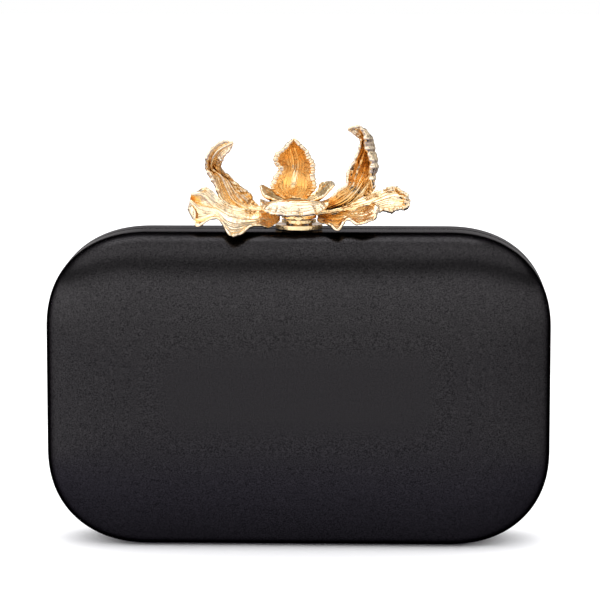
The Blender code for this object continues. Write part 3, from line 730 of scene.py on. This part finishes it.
def pocket_stitches(x, z, depth, thickness):
    """Spindle shaped stitches down both sides, along the bottom and under the hem of the pocket."""
    left, right = x[0] + SEAM_MARGIN, x[-1] - SEAM_MARGIN
    low, high = z[0] + SEAM_MARGIN, z[-1] - SEAM_MARGIN
    path = [(left, value) for value in np.arange(high, low, -STITCH_PITCH)]
    path += [(value, low) for value in np.arange(left, right, STITCH_PITCH)]
    path += [(right, value) for value in np.arange(low, high, STITCH_PITCH)]
    path += [(value, high - 1.4 * MM) for value in np.arange(right - 1 * MM, left + 1 * MM, -STITCH_PITCH)]
    points, faces = [], []
    for start, end in zip(path, path[1:]):
        run = Vector((end[0] - start[0], end[1] - start[1]))
        if run.length > 1.25 * STITCH_PITCH:
            continue
        side = Vector((-run.y, run.x)).normalized()
        first = len(points)
        for share, size in ((0.12, 0.4), (0.3, 1), (0.6, 1), (0.78, 0.4)):
            at = Vector(start) + run * share
            column = int(round((at.x - x[0]) / (x[1] - x[0])))
            cloth = float(np.interp(at.y, z, depth[:, column])) - thickness - 0.05 * MM
            for turn in np.radians(np.arange(0, 360, 60)):
                spot = at + side * (THREAD_RADIUS * size * math.cos(turn))
                points.append((spot.x, cloth - 0.75 * THREAD_RADIUS * size * math.sin(turn), spot.y))
        faces += [tuple(first + i for i in face) for face in closed_tube(4, 6)]
    stitches = face_out(add("pocket_stitches", points, faces, SUEDE))
    return part(stitches, "rear_half", "lining_cloth")


def slip_pocket():
    """A cloth pocket: a panel with a turned hem along its mouth and stitches down its other sides."""
    across, up = 105, 45
    x = np.linspace(POCKET_LOW.x + 0.2 * MM, POCKET_HIGH.x - 0.2 * MM, across)
    z = np.linspace(POCKET_LOW.z + 0.2 * MM, POCKET_HIGH.z - 0.2 * MM, up)
    x_grid, z_grid = np.meshgrid(x, z)
    height = (z_grid - z[0]) / (z[-1] - z[0])
    width = x_grid / x[-1]
    depth = pocket_depth(x_grid, z_grid)
    depth -= 0.5 * MM * height ** 2 * np.cos(width * math.pi / 2) ** 0.6
    depth += 0.10 * MM * np.sin(9 * width + 5 * height) * height
    thick = np.where(height > 0.93, 1.0, 0.55) * LINING / 2
    front = np.stack([x_grid, depth - thick, z_grid], axis=2)
    back = np.stack([x_grid, depth + thick, z_grid], axis=2)
    count = across * up
    faces = []
    for r in range(up - 1):
        for c in range(across - 1):
            a, b = r * across + c, r * across + c + 1
            faces.append((a, b, b + across, a + across))
            faces.append((count + a, count + a + across, count + b + across, count + b))
    rim = ([c for c in range(across)] + [r * across + across - 1 for r in range(1, up)]
           + [(up - 1) * across + c for c in range(across - 2, -1, -1)]
           + [r * across for r in range(up - 2, 0, -1)])
    faces += [(a, b, count + b, count + a) for a, b in zip(rim, rim[1:] + rim[:1])]
    points = np.concatenate([front.reshape(-1, 3), back.reshape(-1, 3)])
    panel = face_out(add("pocket_panel", points, faces, SUEDE, 50))
    part(panel, "rear_half", "lining_cloth", "slip_pocket")
    stitches = pocket_stitches(x, z, depth, thick.min())


# ---------------------------------------------------------------- studio

# Light that shiny surfaces see: elevation in degrees, strength
REFLECTED = [(-75, 0.34), (-40, 0.46), (-22, 0.68), (-7, 1.16), (5, 1.62), (12, 1.85),
             (17, 1.7), (22, 0.4), (31, 0.36), (37, 1.2), (52, 1.5), (75, 1.3)]
STRONGEST = 4               # the ramp of strengths holds them as shares of this
COOL, NEUTRAL = (0.98, 0.93, 1.16), (1.01, 0.99, 0.99)
COOL_BELOW = -15            # elevation in degrees
LIT_MATT = (1.7, 1.7, 1.72, 1)
BACKGROUND = (1, 1, 1, 1)

ELEVATION = 8.0
AZIMUTH = 1.5
DISTANCE = 1.15
VIEW_WIDTH = 0.2215
LOOK_AT = Vector((0.0004, 0, TOP - 26.5 * MM))


def camera():
    """A long lens, a little above the purse and to its right."""
    data = bpy.data.cameras.new("camera")
    data.sensor_width = 36
    data.lens = data.sensor_width * DISTANCE / VIEW_WIDTH
    made = bpy.data.objects.new("camera", data)
    bpy.context.scene.collection.objects.link(made)
    around, up = math.radians(AZIMUTH), math.radians(ELEVATION)
    away = Vector((math.sin(around) * math.cos(up), -math.cos(around) * math.cos(up), math.sin(up)))
    made.location = LOOK_AT + away * DISTANCE
    made.rotation_euler = away.to_track_quat("Z", "Y").to_euler()
    bpy.context.scene.camera = made


def studio():
    """White sweep under the purse, and soft light from above, from the front and from the sides."""
    world = bpy.data.worlds.new("studio")
    bpy.context.scene.world = world
    world.use_nodes = True
    nodes, links = world.node_tree.nodes, world.node_tree.links
    place = nodes.new("ShaderNodeTexCoord")
    split = nodes.new("ShaderNodeSeparateXYZ")
    links.new(place.outputs["Generated"], split.inputs["Vector"])

    def mapped(value, start, end, low, high):
        node = nodes.new("ShaderNodeMapRange")
        for socket, setting in (("From Min", start), ("From Max", end), ("To Min", low), ("To Max", high)):
            node.inputs[socket].default_value = setting
        links.new(value, node.inputs["Value"])
        return node.outputs["Result"]

    def by_ray(kind):
        """A mix of two colours whose second is the one that rays of this kind see."""
        node = nodes.new("ShaderNodeMix")
        node.data_type = "RGBA"
        links.new(rays.outputs[kind], node.inputs["Factor"])
        return node

    ramp = nodes.new("ShaderNodeValToRGB")
    ramp.color_ramp.interpolation = "EASE"
    while len(ramp.color_ramp.elements) < len(REFLECTED):
        ramp.color_ramp.elements.new(0.5)
    for element, (degrees, level) in zip(ramp.color_ramp.elements, REFLECTED):
        element.position = 0.5 + 0.5 * math.sin(math.radians(degrees))
        tint = COOL if degrees < COOL_BELOW else NEUTRAL
        element.color = (*(level / STRONGEST * share for share in tint), 1)
    links.new(mapped(split.outputs["Z"], -1, 1, 0, 1), ramp.inputs["Fac"])

    sides = nodes.new("ShaderNodeMath")
    sides.operation = "MULTIPLY"
    from_left = mapped(split.outputs["X"], -1, 1, STRONGEST * 1.25, STRONGEST * 0.8)
    from_front = mapped(split.outputs["Y"], -0.1, 0.5, 1.0, 0.42)
    links.new(from_left, sides.inputs[0])
    links.new(from_front, sides.inputs[1])
    lit = nodes.new("ShaderNodeVectorMath")
    lit.operation = "SCALE"
    links.new(ramp.outputs["Color"], lit.inputs[0])
    links.new(sides.outputs["Value"], lit.inputs["Scale"])

    rays = nodes.new("ShaderNodeLightPath")
    shiny = by_ray("Is Glossy Ray")
    shiny.inputs["A"].default_value = LIT_MATT
    links.new(lit.outputs["Vector"], shiny.inputs["B"])
    seen = by_ray("Is Camera Ray")
    links.new(shiny.outputs["Result"], seen.inputs["A"])
    seen.inputs["B"].default_value = BACKGROUND
    links.new(seen.outputs["Result"], nodes["Background"].inputs["Color"])

    overhead = bpy.data.lights.new("overhead", "AREA")
    overhead.shape = "RECTANGLE"
    overhead.size, overhead.size_y = 0.9, 0.5
    overhead.energy = 2.2
    lamp = bpy.data.objects.new("overhead", overhead)
    lamp.location = (-0.1, 0.12, 1.0)
    lamp.rotation_euler = (math.radians(-6), math.radians(-5), 0)
    bpy.context.scene.collection.objects.link(lamp)

    reach = 4
    corners = [(-reach, -reach, 0), (reach, -reach, 0), (reach, reach, 0), (-reach, reach, 0)]
    floor = add("floor", corners, [(0, 1, 2, 3)], floor_paper())
    floor.visible_glossy = False
    bpy.context.scene.view_settings.view_transform = "Standard"


camera()
studio()
halves()
orchid()
fittings()
slip_pocket()
